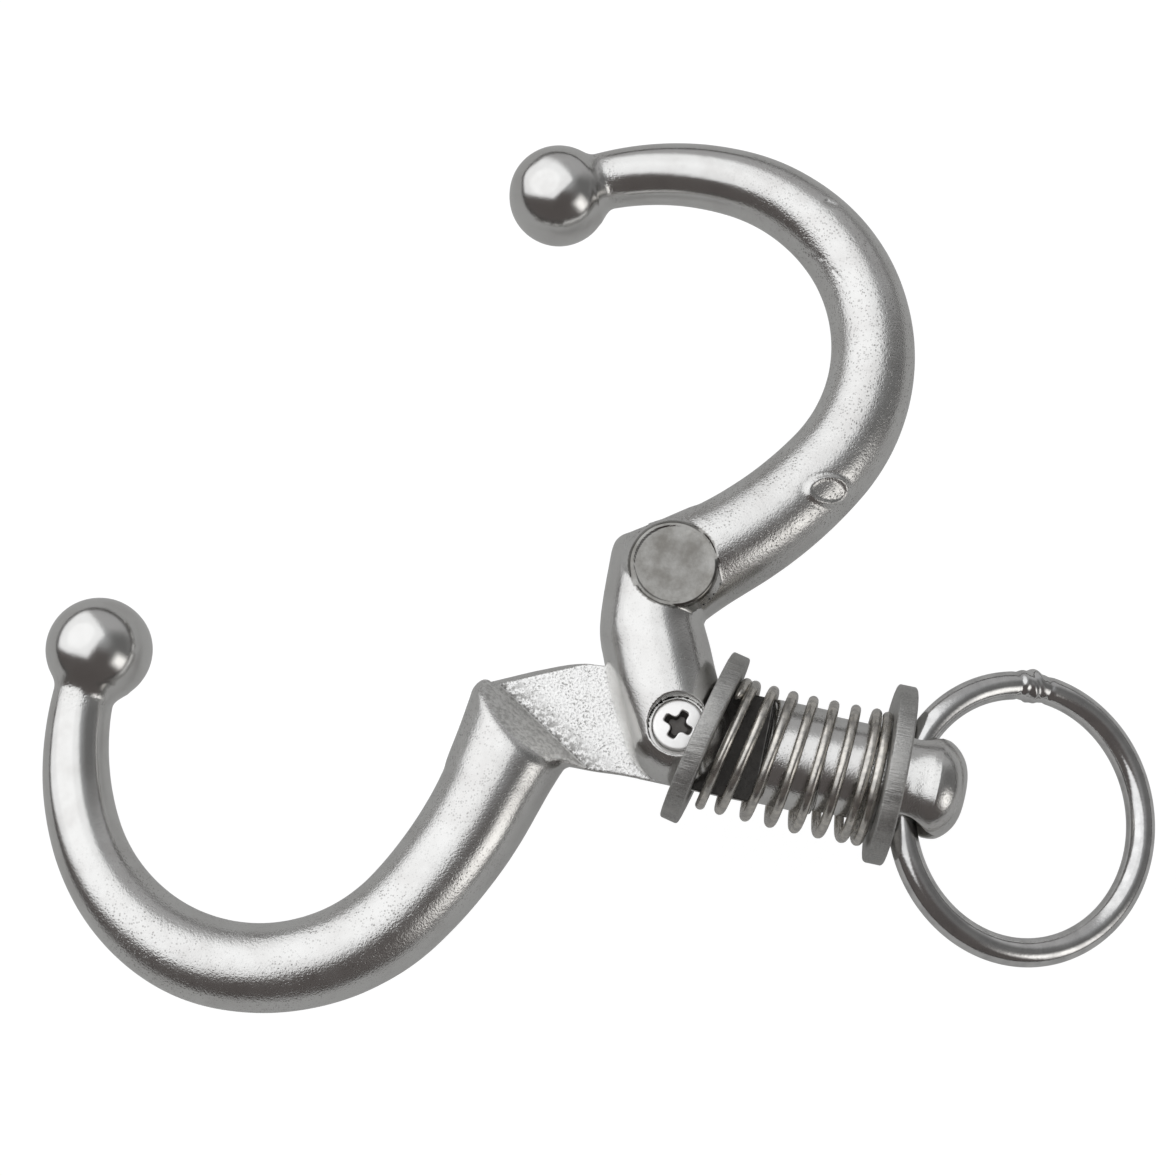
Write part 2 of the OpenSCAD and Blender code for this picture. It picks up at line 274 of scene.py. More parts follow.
def hook_solid(p, moving):
    """The casting before its cuts: arm, ball, knee and neck, with the shank and knob of the fixed one."""
    x, y, z = p.T
    arm, _ = arm_near(p, SWELL["moving_hook" if moving else "fixed_hook"])
    d = np.minimum(smooth_min(arm, ball_field(p, moving), BALL_FILLET), knee_field(p))
    across = np.hypot(y, z)
    neck = np.maximum(across - NECK_R, NECK_START - NECK_LEAN * y - x)
    if moving:
        d = np.minimum(d, np.maximum(neck, x))
        d = np.minimum(d, np.sqrt(x * x + across**2) - NECK_R)
        d = with_medallion(d, x, y, z)
        d = d - witness_mark(p) + nicks(p)
    else:
        d = np.minimum(d, np.maximum(neck, x - SHOULDER_X))
        d = smooth_min(d, rod(x, across, 0, STEP_X, FORE_R), STEP_FILLET)
        d = smooth_min(d, rod(x, across, 0, KNOB_X + 4, SHANK_R), SHANK_FILLET)
        knob = rod(x, np.hypot(y - KNOB_Y, z), KNOB_X - 0.4, KNOB_END, KNOB_R, KNOB_ROUND)
        d = smooth_min(d, knob, KNOB_FILLET)
    return d + 0.03 * wave(p, 21.0, 1.3 + moving) + 0.004 * wave(p, 5.0, 4.1 + moving)


def lap_room(x, y, z, moving):
    """Room for the other neck: above the mating face and in front of the wall."""
    w, _ = turned(x, y, WALL_TURN)
    room = smooth_max(-LAP_GAP - z, -wall_run(w, z), WALL_FOOT_ROUND)
    return room if moving else np.maximum(room, x - SHOULDER_X)


def closing_sliver(x, y, z):
    """The strip of the neck's outer edge where the other hook's wall closes on it."""
    cx, cy = turned(x, y, -CLOSED_ANGLE)
    w, v = turned(cx, -cy, WALL_TURN)
    h = -z
    foot = WALL_FOOT + WALL_RELIEF
    in_front = np.maximum(w - foot + WALL_SLOPE * np.maximum(h, 0), foot - SLIVER_DEPTH - w)
    in_height = np.abs(h - (RELIEF_H - 1) / 2) - (RELIEF_H + 1) / 2
    in_length = np.abs(v - SLIVER_AT) - SLIVER_HALF
    return np.maximum(in_front, np.maximum(in_height, in_length))


def eye_hole(x, y, z):
    """The ring's eye: a throat that flares to a mouth on each side."""
    flare = (MOUTH_R - THROAT_R) / (MOUTH_Y - THROAT_HALF)
    radius = THROAT_R + flare * np.maximum(np.abs(y) - THROAT_HALF, 0)
    return (np.hypot(x - EYE_X, z) - radius) * 0.95


def hook_field(p, moving):
    """A whole casting: the solid with its lap, bores and eye cut."""
    x, y, z = p.T
    d = hook_solid(p, moving)
    lip = LIP_ROUND + LIP_ROUND_MORE * np.clip(z / LIP_HEIGHT, 0, 1)
    d = smooth_max(d, -lap_room(x, y, z, moving), lip)
    d = smooth_max(d, -closing_sliver(x, y, z), SLIVER_ROUND)
    bore_r = SCREW_D / 2 + (BORE_CLEAR if moving else 0)
    d = smooth_max(d, bore_r - np.hypot(x, y), BORE_ROUND)
    if moving:
        sunk = np.maximum(np.hypot(x, y) - COUNTERBORE_D / 2, z + COUNTERBORE_FLOOR)
        return smooth_max(d, -sunk, COUNTERBORE_ROUND)
    return smooth_max(d, -eye_hole(x, y, z), EYE_ROUND)


def with_medallion(d, x, y, z):
    """A round pad on the knee, pressed flat inside a low rim, with a sloping skirt."""
    out = np.hypot(x - MEDAL_AT[0], y - MEDAL_AT[1])
    skirt = np.maximum(out - MEDAL_R - MEDAL_SKIRT * (z + MEDAL_Z) / 2, z + MEDAL_Z - 2)
    pad = smooth_max(skirt, -MEDAL_Z - z, MEDAL_ROUND)
    above = np.maximum(z + MEDAL_Z, out - MEDAL_R)
    d = smooth_min(smooth_max(d, -above, MEDAL_ROUND), pad, SKIRT_FILLET)
    rim = MEDAL_RIM * np.exp(-(((out - MEDAL_R + 0.40) / 0.32) ** 2))
    dip = np.clip((MEDAL_R - 0.6 - out) / 2.4, 0, 1)
    dish = -MEDAL_DISH * dip * (2 - dip)
    return d - np.where(z < -MEDAL_Z + 1.5, rim + dish, 0)


MARK_AT, MARK_TURN, MARK_LONG, MARK_WIDE = (-31.3, -35.5), -82.0, 3.3, 2.0
NICKS = (  # place, half of its run, width and depth of dents in the moving hook's upper face
    ((-81.4, -51.5), (0.4, -0.5), 0.55, 0.30),
    ((-73.5, -46.3), (1.2, -0.9), 0.30, 0.07),
    ((-68.2, -48.8), (1.5, -0.5), 0.28, 0.06),
)


def witness_mark(p):
    """Height of a plain oval rim that the mould left on the arm."""
    w, v = turned(p[:, 0] - MARK_AT[0], p[:, 1] - MARK_AT[1], MARK_TURN)
    r = np.sqrt((w / MARK_LONG) ** 2 + (v / MARK_WIDE) ** 2)
    rim = 0.26 * np.exp(-(((r - 1.0) / 0.17) ** 2)) - 0.06 * np.exp(-(((r - 1.42) / 0.2) ** 2))
    return np.where(p[:, 2] < 0, rim, 0)


def nicks(p):
    """Depth of a few dents and scratches."""
    depth = 0
    for place, half, width, deep in NICKS:
        rel, along = p[:, :2] - np.array(place), np.array(half)
        t = np.clip(rel @ along / (along @ along), -1, 1)
        off = rel - t[:, None] * along
        depth = depth + deep * np.exp(-((off**2).sum(1) / width**2))
    return np.where(p[:, 2] < 0, depth, 0)


def screw_field(p):
    """Pan head with a cross recess, on a plain shank."""
    x, y, z = p.T
    out = np.hypot(x, y)
    top = HEAD_BASE + HEAD_H - HEAD_CROWN * (out / (HEAD_D / 2)) ** 2
    head = smooth_max(np.maximum(out - HEAD_D / 2, HEAD_BASE - z), z - top, HEAD_ROUND)
    shank = np.maximum(out - SCREW_D / 2, np.maximum(-NECK_R + 0.4 - z, z - HEAD_BASE - 0.1))
    recess = cross_recess(x, y, z, HEAD_BASE + HEAD_H)
    return smooth_max(np.minimum(head, shank), -recess, RECESS_ROUND)


def cross_recess(x, y, z, top):
    """Recess of a cross driver, whose wings narrow with depth."""
    u, v = turned(x, y, SCREW_TURN)
    deep = np.clip((top - z) / 1.5, 0, 1)
    slots = [
        smooth_max(np.abs(a) - RECESS_REACH + 0.9 * deep, np.abs(b) - RECESS_HALF + 0.2 * deep, 0.5)
        for a, b in ((u, v), (v, u))
    ]
    return np.maximum(smooth_min(*slots, 0.9), top - RECESS_DEPTH - z)


# ------------------------------ meshes
def slopes(field, p, reach=0.04):
    """The field's slope at each point."""
    out = np.empty_like(p)
    for axis in range(3):
        shift = np.zeros(3)
        shift[axis] = reach
        out[:, axis] = (field(p + shift) - field(p - shift)) / (2 * reach)
    return out


def inside_grid(field, axes, block=6):
    """Which grid points are inside: point by point near the surface, a block at a time elsewhere."""
    shape = [len(a) // block for a in axes]
    step = axes[0][1] - axes[0][0]
    middles = [a[: n * block].reshape(n, block).mean(1) for a, n in zip(axes, shape)]
    points = np.stack(np.meshgrid(*middles, indexing="ij"), -1).reshape(-1, 3)
    value = field(points).reshape(shape)
    inside = np.repeat(np.repeat(np.repeat(value < 0, block, 0), block, 1), block, 2)
    near = np.argwhere(np.abs(value) < block * step * 1.3 + 0.8)
    offsets = np.stack(np.meshgrid(*[np.arange(block)] * 3, indexing="ij"), -1).reshape(-1, 3)
    for first in range(0, len(near), 4000):
        part = near[first : first + 4000]
        index = (part[:, None] * block + offsets).reshape(-1, 3)
        points = np.column_stack([a[index[:, k]] for k, a in enumerate(axes)])
        inside[tuple(index.T)] = field(points) < 0
    return inside


def net_quads(inside, index):
    """One quad between four cells round each grid edge that the surface crosses."""
    quads = []
    for axis in range(3):
        order = (axis, (axis + 1) % 3, (axis + 2) % 3)
        solid, cell = inside.transpose(order), index.transpose(order)
        i, j, k = np.nonzero(solid[:-1, 1:-1, 1:-1] != solid[1:, 1:-1, 1:-1])
        ring = np.stack([cell[i, j, k], cell[i, j + 1, k], cell[i, j + 1, k + 1], cell[i, j, k + 1]], 1)
        entering = ~solid[i, j + 1, k + 1]
        ring[entering] = ring[entering][:, ::-1]
        quads.append(ring)
    return np.concatenate(quads)


def settled(field, points, step):
    """The points moved onto the surface, and its outward direction at each."""
    for _ in range(NET_STEPS):
        slope = slopes(field, points)
        move = slope * (field(points) / np.maximum((slope**2).sum(1), 0.05))[:, None]
        length = np.sqrt((move**2).sum(1, keepdims=True))
        points = points - move * np.minimum(1, step / np.maximum(length, 1e-9))
    slope = slopes(field, points)
    return points, slope / np.maximum(np.sqrt((slope**2).sum(1, keepdims=True)), 1e-9)


def surface_net(field, low, high, step, block=6):
    """Points, outward directions and quads of the surface where the field is zero."""
    axes = []
    for a, b in zip(low, high):
        count = int(np.ceil((b - a + 4 * step) / (step * block))) * block
        axes.append(a - 2 * step + step * np.arange(count))
    inside = inside_grid(field, axes, block)
    count = inside.astype(np.int8)
    for axis in range(3):
        last = count.shape[axis] - 1
        count = np.take(count, range(last), axis) + np.take(count, range(1, last + 1), axis)
    cells = np.nonzero((count > 0) & (count < 8))
    index = np.full(count.shape, -1, np.int64)
    index[cells] = np.arange(len(cells[0]))
    points = np.column_stack([axes[a][cells[a]] + step / 2 for a in range(3)])
    return *settled(field, points, step), net_quads(inside, index)


def to_row(points):
    return points * MM + np.array(PIVOT)


def make_piece(name, points, faces, normals=None, masks=None, caps=()):
    """A smooth-shaded mesh object from points in millimetres about the pivot."""
    mesh = bpy.data.meshes.new(name)
    mesh.from_pydata(to_row(points).tolist(), [], faces.tolist() + list(caps))
    mesh.shade_smooth()
    for key, values in (masks or {}).items():
        mesh.attributes.new(key, "FLOAT", "POINT").data.foreach_set("value", values.astype(np.float32))
    if normals is not None:
        mesh.normals_split_custom_set_from_vertices(normals.tolist())
    piece = bpy.data.objects.new(name, mesh)
    bpy.context.scene.collection.objects.link(piece)
    return piece


def grid_faces(rows, around, closed_rows=False):
    """Quads of a tube of rings, each with the same number of points."""
    faces = []
    for i in range(rows if closed_rows else rows - 1):
        for k in range(around):
            a, b = i * around, (i + 1) % rows * around
            n = (k + 1) % around
            faces.append((a + k, a + n, b + n, b + k))
    return np.array(faces)


# ------------------------------ materials
class Nodes:
    """Short calls for building the nodes of one material or of the world."""

    def __init__(self, owner, coordinate="Object"):
        owner.use_nodes = True
        self.owner = owner
        self.tree = owner.node_tree
        self.place = self.tree.nodes.new("ShaderNodeTexCoord").outputs[coordinate]

    def set(self, node, socket, value):
        if isinstance(value, bpy.types.NodeSocket):
            self.tree.links.new(value, node.inputs[socket])
        else:
            node.inputs[socket].default_value = value

    def vector(self, operation, value):
        node = self.tree.nodes.new("ShaderNodeVectorMath")
        node.operation = operation
        self.set(node, 0, self.place)
        node.inputs[1].default_value = value
        return node.outputs["Value" if operation == "DOT_PRODUCT" else "Vector"]

    def noise(self, size_mm, detail=2.0, rough=0.5, place=None):
        node = self.tree.nodes.new("ShaderNodeTexNoise")
        self.set(node, "Vector", place or self.place)
        self.set(node, "Scale", 1 / (size_mm * MM))
        self.set(node, "Detail", detail)
        self.set(node, "Roughness", rough)
        return node.outputs["Fac"]

    def pits(self, size_mm, share, radius=0.42):
        """Round pits scattered at random: 1 in their middles, and one cell in so many has one."""
        node = self.tree.nodes.new("ShaderNodeTexVoronoi")
        self.set(node, "Vector", self.place)
        self.set(node, "Scale", 1 / (size_mm * MM))
        split = self.tree.nodes.new("ShaderNodeSeparateColor")
        self.set(split, 0, node.outputs["Color"])
        size = self.ramp(split.outputs[0], 1 - share, 1.0, 0.001, radius)
        deep = self.math("SUBTRACT", 1.0, self.math("DIVIDE", node.outputs["Distance"], size))
        return self.math("MAXIMUM", deep, 0.0)

    def ramp(self, value, low, high, to_low=0.0, to_high=1.0):
        node = self.tree.nodes.new("ShaderNodeMapRange")
        node.interpolation_type = "SMOOTHSTEP"
        for socket, item in enumerate((value, low, high, to_low, to_high)):
            self.set(node, socket, item)
        return node.outputs[0]

    def math(self, operation, a, b=0.0):
        node = self.tree.nodes.new("ShaderNodeMath")
        node.operation = operation
        self.set(node, 0, a)
        self.set(node, 1, b)
        return node.outputs[0]

    def mix(self, factor, a, b):
        node = self.tree.nodes.new("ShaderNodeMix")
        node.data_type = "RGBA"
        self.set(node, 0, factor)
        self.set(node, 6, (*a, 1) if isinstance(a, tuple) else a)
        self.set(node, 7, (*b, 1) if isinstance(b, tuple) else b)
        return node.outputs[2]

    def mask(self, name):
        node = self.tree.nodes.new("ShaderNodeAttribute")
        node.attribute_name = name
        return node.outputs["Fac"]

    def bump(self, height, depth_mm, normal=None):
        node = self.tree.nodes.new("ShaderNodeBump")
        self.set(node, "Height", height)
        self.set(node, "Distance", depth_mm * MM)
        if normal is not None:
            self.set(node, "Normal", normal)
        return node.outputs[0]

    def by_view(self, in_metal, in_plain_view):
        """One shader for what the metal mirrors and another for what the camera sees."""
        node = self.tree.nodes.new("ShaderNodeMixShader")
        self.set(node, 0, self.tree.nodes.new("ShaderNodeLightPath").outputs["Is Camera Ray"])
        self.set(node, 1, in_metal)
        self.set(node, 2, in_plain_view)
        return node.outputs[0]

    def finish(self, color, rough, normal):
        shader = self.tree.nodes["Principled BSDF"]
        self.set(shader, "Base Color", color)
        self.set(shader, "Roughness", rough)
        self.set(shader, "Metallic", 1.0)
        self.set(shader, "Normal", normal)
        return self.owner


def steel(name):
    return Nodes(bpy.data.materials.new(name))


def cast_pits(n, dull_side):
    """Fine pits all over, coarse ones in places, and none where the casting is polished."""
    patches = n.ramp(n.noise(11.0, 3), 0.35, 0.60, 0.25, 1.0)
    fine = n.pits(0.38, 0.8, 0.6)
    coarse = n.math("MULTIPLY", n.pits(0.85, 0.12, 0.4), n.ramp(n.noise(14.0, 2), 0.5, 0.62))
    return n.math("MULTIPLY", n.math("MAXIMUM", fine, coarse), n.math("MULTIPLY", patches, dull_side))


def lap_color(n, dust):
    """Bright mating face with dark grit in clumps and along the foot of its wall."""
    clumps = n.ramp(n.noise(3.2, 4, 0.7), 0.40, 0.62)
    thick = n.math("ADD", n.math("MULTIPLY", clumps, 0.5), 0.35)
    grit = n.math("MULTIPLY", n.ramp(dust, 0.50, 0.62), thick)
    foot = n.math("MULTIPLY", n.mask("edge"), n.ramp(n.noise(0.9, 4, 0.7), 0.42, 0.56))
    return n.mix(n.math("MAXIMUM", grit, foot), (0.88, 0.875, 0.86), (0.20, 0.195, 0.185))


def cast_color(n, pits, dust):
    stains = n.ramp(n.noise(6.0, 4, 0.6), 0.35, 0.75)
    color = n.mix(stains, (0.68, 0.675, 0.66), (0.61, 0.60, 0.585))
    color = n.mix(n.math("MULTIPLY", pits, 0.75), color, (0.20, 0.19, 0.18))
    color = n.mix(n.mask("lap"), color, lap_color(n, dust))
    rubbed = n.ramp(n.noise(0.8, 4, 0.7), 0.38, 0.66)
    color = n.mix(n.mask("wall"), color, n.mix(rubbed, (0.85, 0.845, 0.83), (0.55, 0.545, 0.53)))
    clouds = n.ramp(n.noise(4.5, 5, 0.6), 0.3, 0.7)
    color = n.mix(n.mask("skin"), color, n.mix(clouds, (0.32, 0.315, 0.30), (0.18, 0.172, 0.158)))
    # painted shade: the mating face under the collar and the spring is painted near black to stand for
    # the shade in that gap
    painted_gap_shade = n.mix(n.noise(2.0, 3), (0.045, 0.044, 0.042), (0.09, 0.085, 0.08))
    return n.mix(n.mask("painted_gap_shade"), color, painted_gap_shade)


def cast_relief(n, dull_side, pits, dust):
    """Grain, drag marks, pits and grit, from the finest to the coarsest."""
    stipple = n.math("MULTIPLY", n.noise(0.42, 2, 0.6), n.ramp(dull_side, 0, 1, 0.12, 1.0))
    grain = n.bump(stipple, 0.058)
    drag = n.bump(n.noise(1.6, 3, 0.5), 0.012, grain)
    sunk = n.bump(n.math("MULTIPLY", pits, -1.0), 0.045, drag)
    gritty = n.math("MAXIMUM", n.mask("lap"), n.math("MULTIPLY", n.mask("wall"), 0.4))
    return n.bump(n.math("MULTIPLY", dust, gritty), 0.07, sunk)


def cast_steel():
    """Tumbled casting: satin with fine pits, polished ends, a gritty mating face and a dull medallion."""
    n = steel("cast_steel")
    polish = n.mask("polish")
    dull_side = n.math("SUBTRACT", 1.0, n.math("MAXIMUM", polish, n.mask("skin")))
    pits, dust = cast_pits(n, dull_side), n.noise(0.42, 3, 0.7)
    rough = n.ramp(n.noise(3.5, 4), 0.3, 0.7, 0.20, 0.27)
    rough = n.math("ADD", n.math("MULTIPLY", rough, dull_side), n.math("MULTIPLY", polish, 0.17))
    coarser = n.math("MULTIPLY", n.math("MAXIMUM", n.mask("lap"), n.mask("wall")), 0.20)
    rough = n.math("ADD", rough, coarser)
    return n.finish(cast_color(n, pits, dust), rough, cast_relief(n, dull_side, pits, dust))


def screw_steel():
    """Bright pan head whose recess is painted dark as shade."""
    n = steel("screw_steel")
    color = n.mix(n.noise(0.8, 4), (0.93, 0.925, 0.91), (0.84, 0.83, 0.815))
    recess = n.mask("recess")
    # painted shade: the cross recess is darkened in colour, as the shade in the hollow
    color = n.mix(recess, color, n.mix(n.noise(0.5, 3), (0.10, 0.095, 0.09), (0.20, 0.19, 0.18)))
    turned_rings = n.noise(0.12, 3, 0.6, n.vector("MULTIPLY", (1.0, 0.12, 1.0)))
    rough = n.ramp(recess, 0, 1, 0.42, 0.6)
    return n.finish(color, rough, n.bump(turned_rings, 0.01))


def washer_steel():
    """Dull, evenly grained stamping, with faint shear lines across the rim."""
    n = steel("washer_steel")
    fine = n.noise(0.28, 4, 0.7)
    cloud = n.noise(3.5, 4)
    color = n.mix(n.ramp(fine, 0.35, 0.65), (0.34, 0.335, 0.325), (0.50, 0.495, 0.48))
    color = n.mix(n.ramp(cloud, 0.4, 0.7, 0, 0.6), color, (0.56, 0.555, 0.535))
    shear = n.noise(0.45, 3, 0.6, n.vector("MULTIPLY", (0.12, 1.0, 1.0)))
    rim = n.mask("rim")
    normal = n.bump(n.math("MULTIPLY", shear, rim), 0.16, n.bump(fine, 0.05))
    return n.finish(color, n.ramp(cloud, 0.3, 0.7, 0.40, 0.52), normal)


def spring_steel():
    """Drawn wire: long, fine draw lines and a thin film of oil."""
    n = steel("spring_steel")
    color = n.mix(n.ramp(n.noise(1.4, 4), 0.35, 0.65), (0.68, 0.65, 0.60), (0.47, 0.455, 0.43))
    drawn = n.noise(0.22, 3, 0.6, n.vector("MULTIPLY", (1.0, 0.3, 0.3)))
    return n.finish(color, n.ramp(n.noise(2.2, 3), 0.3, 0.7, 0.22, 0.30), n.bump(drawn, 0.018))


def ring_steel():
    """Polished wire, scuffed here and there, dark with heat beside its weld."""
    n = steel("ring_steel")
    scuff = n.ramp(n.noise(3.0, 4), 0.35, 0.7)
    color = n.mix(scuff, (0.70, 0.695, 0.685), (0.56, 0.555, 0.55))
    color = n.mix(n.mask("heat"), color, n.mix(n.noise(0.7, 3), (0.30, 0.29, 0.27), (0.42, 0.41, 0.39)))
    drawn = n.bump(n.noise(0.5, 3), 0.014)
    lumps = n.bump(n.math("MULTIPLY", n.noise(0.9, 3, 0.6), n.mask("heat")), 0.25, drawn)
    return n.finish(color, n.ramp(scuff, 0, 1, 0.13, 0.20), lumps)


# ------------------------------ pieces
def dress(piece, material, node, body):
    piece.data.materials.append(material)
    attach(piece, body)
    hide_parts(node)
    return piece


POLISH_END, POLISH_FADE = 52.0, 26.0  # how far along the arm the polish of the balls reaches
ROOT_OUT, ROOT_WIDE, ROOT_REACH = 8.6, 2.0, 14.0  # the unpolished ring where an arm leaves its ball


def hook_masks(p, normals, moving):
    """Where the casting is polished, gritty, ground and tarnished, and where the shade in the gap under
    the collar is painted dark.
    """
    x, y, z = p.T
    _, along = arm_near(p)
    tip = np.clip((POLISH_END - along) / POLISH_FADE, 0, 1) * (x < -40)
    out = (p[:, :2] - np.array(BALL_AT)) @ unit(ARM_HEADING)
    beside = np.hypot(x - BALL_AT[0], y - BALL_AT[1]) < ROOT_REACH
    tip = tip * (1 - 0.85 * np.exp(-(((out - ROOT_OUT) / ROOT_WIDE) ** 2)) * beside)
    knob = 0.5 * np.clip((x - STEP_X - 6) / 4, 0, 1)
    run = wall_run(turned(x, y, WALL_TURN)[0], z)
    flat = (np.abs(z + LAP_GAP) < 0.25) & (normals[:, 2] > 0.7)
    wall = (np.abs(run) < 0.35) & (z > 0.1) & (x < 0)
    masks = {
        "polish": np.maximum(tip, np.maximum(knob, 0.6 * np.clip((x + 34) / 8, 0, 1))),
        "lap": flat * 1.0,
        "edge": np.clip(1 - run / 3.5, 0, 1) * flat,
        "wall": wall * 1.0,
        "skin": np.zeros(len(p)),
        # painted shade: marks the mating face beyond the pivot, under the collar and spring, to be
        # painted dark as shade
        "painted_gap_shade": (flat & (x > 1.0)) * 1.0,
    }
    if moving:
        out = np.hypot(x - MEDAL_AT[0], y - MEDAL_AT[1])
        masks["skin"] = ((out < MEDAL_R + 0.4) & (z < -MEDAL_Z + 1.8)) * 1.0
        masks["polish"] = np.maximum(tip, 0.7 * np.clip((x + 32) / 8, 0, 1) * (y > -14))
    return masks


def make_hook(name, moving, material):
    low, high = (-109, -62, -10), (KNOB_END if not moving else NECK_R, 10, 10)
    points, normals, faces = surface_net(lambda p: hook_field(p, moving), low, high, HOOK_CELL)
    masks = hook_masks(points, normals, moving)
    if moving:
        flip = np.array([1, -1, -1])
        c, s = unit(-OPEN_ANGLE)
        turn = np.array([[c, s, 0], [-s, c, 0], [0, 0, 1]])
        points, normals = points * flip @ turn, normals * flip @ turn
    piece = make_piece(name + "_casting", points, faces, normals, masks)
    return dress(piece, material, name, "open_hook" if moving else "shank")


def make_screw(material):
    low, high = (-HEAD_D / 2, -HEAD_D / 2, -NECK_R), (HEAD_D / 2, HEAD_D / 2, COUNTERBORE_FLOOR + HEAD_H)
    points, normals, faces = surface_net(screw_field, low, high, SCREW_CELL)
    x, y, z = points.T
    top = HEAD_BASE + HEAD_H
    sunk = z < top - 0.28 - HEAD_CROWN * (x * x + y * y) / (HEAD_D / 2) ** 2
    recess = (np.abs(cross_recess(x, y, z, top)) < 0.12) & sunk
    piece = make_piece("pan_head_screw", points, faces, normals, {"recess": recess * 1.0})
    return dress(piece, material, "pivot_screw", "shank")


def washer_profile(inner, outer, edge):
    """Outline of a washer's section, as distances along and off its axis, with rounded edges."""
    corners = (
        (edge, outer - edge, 180),
        (WASHER_T - edge, outer - edge, 90),
        (WASHER_T - edge, inner + edge, 0),
        (edge, inner + edge, -90),
    )
    profile = []
    for x, r, first in corners:
        for a in (0, 22.5, 45, 67.5, 90):
            c, s = unit(first - a)
            profile.append((x + edge * c, r + edge * s))
    return profile


def make_washer(name, x, y, lean, material, body, node):
    """A stamped washer, whose rim isn't quite true."""
    around = 192
    inner, outer = WASHER_BORE / 2, WASHER_D / 2
    profile = washer_profile(inner, outer, WASHER_EDGE)
    rows = []
    for i in range(around):
        a = 2 * pi * i / around
        true = 0.05 * sin(3 * a + 1) + 0.03 * sin(11 * a) + 0.02 * sin(29 * a + 2)
        for px, pr in profile:
            r = pr + true * (pr > inner + 1)
            rows.append((px, r * cos(a), r * sin(a)))
    points = np.array(rows)
    rim = (np.hypot(points[:, 1], points[:, 2]) > outer - 0.3) * 1.0
    if lean:
        points[:, 0] -= WASHER_T / 2
        points[:, 0], points[:, 1] = turned(points[:, 0], points[:, 1], lean)
    points += np.array([x, y, 0])
    faces = grid_faces(around, len(profile), closed_rows=True)
    piece = make_piece(name, points, faces, masks={"rim": rim})
    return dress(piece, material, node, body)


def coil_x(turn):
    """Distance along the shank after that many turns of the wire."""
    closed = SPRING_WIRE + 0.05
    pitch = (SPRING_BACK - SPRING_FRONT - 2 * CLOSED_COILS * closed) / ACTIVE_COILS
    ends = min(turn, CLOSED_COILS) + max(turn - CLOSED_COILS - ACTIVE_COILS, 0)
    return SPRING_FRONT + closed * ends + pitch * min(max(turn - CLOSED_COILS, 0), ACTIVE_COILS)


def coil_centre(turn, angle):
    """Centre of the wire: it follows the leaning collar in front and sags a little on the shank."""
    x = coil_x(turn)
    share = (x - SPRING_FRONT) / (SPRING_BACK - SPRING_FRONT)
    y, z = SPRING_D / 2 * cos(angle), SPRING_D / 2 * sin(angle)
    lean = y * tan(radians(COLLAR_LEAN)) * (1 - share) ** 2.2
    sag = SPRING_SAG[0] + SPRING_SAG[1] * share + SPRING_SAG[2] * sin(pi * share)
    return x + lean, y - sag, z


def make_spring(material):
    """Coil of round wire with closed ends, made at one length: the real spring stretches and shortens as
    the collar slides, this mesh does not.
    """
    around, per_turn = 16, 56
    turns = ACTIVE_COILS + 2 * CLOSED_COILS
    steps = round(turns * per_turn)
    rows = []
    for i in range(steps + 1):
        turn = turns * i / steps
        a = radians(SPRING_START - 360 * turn)
        x, y, z = coil_centre(turn, a)
        radius = SPRING_WIRE / 2 * (1 if 0 < i < steps else 0.6)
        for k in range(around):
            t = -2 * pi * k / around
            out = radius * cos(t)
            rows.append((x + radius * sin(t), y + out * cos(a), z + out * sin(a)))
    last = len(rows) - around
    caps = [list(range(around))[::-1], list(range(last, last + around))]
    piece = make_piece("coil_spring", np.array(rows), grid_faces(steps + 1, around), caps=caps)
    piece.data.materials.append(material)
    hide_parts("spring")
    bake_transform(piece)
    return piece


def weld_bead(arc, t):
    """Height of the weld at that distance along the ring and that angle round its wire."""
    lump = 0.6 + 0.45 * np.sin(2 * t + 0.6) + 0.35 * np.sin(3 * t + 2.4 * arc + 1.0)
    bead = 0.50 * np.exp(-((arc / 1.1) ** 2)) * lump
    bead += 0.30 * np.exp(-(((arc - 1.9) / 0.8) ** 2)) * np.maximum(np.cos(t - 0.7), 0)
    return bead - 0.12 * np.exp(-(((np.abs(arc) - 2.7) / 0.5) ** 2))


def make_ring(material):
    """Wire ring with one lumpy butt weld."""
    rows, around = 720, 48
    turns = np.arange(rows) * 2 * pi / rows, np.arange(around) * 2 * pi / around
    a, t = np.meshgrid(*turns, indexing="ij")
    arc = ((np.degrees(a) - WELD_ANGLE + 180) % 360 - 180) * pi / 180 * RING_R
    r = RING_WIRE / 2 + weld_bead(arc, t)
    out = RING_R + r * np.cos(t)
    x, z = turned(out * np.cos(a) + RING_R - RING_SLACK, r * np.sin(t), RING_DROOP)
    points = np.stack([x + EYE_X, out * np.sin(a) + RING_Y, z], -1).reshape(-1, 3)
    heat = np.exp(-((arc.reshape(-1) / 2.0) ** 4))
    faces = grid_faces(rows, around, closed_rows=True)[:, ::-1]
    piece = make_piece("lead_ring", points, faces, masks={"heat": heat})
    return dress(piece, material, "ring", "lead")


# ------------------------------ stage
CAMERA_AT, CAMERA_TURN, CAMERA_LENS = (6.46, -61.76, 349.04), (13.92, 1.298, 12.46), 64.91
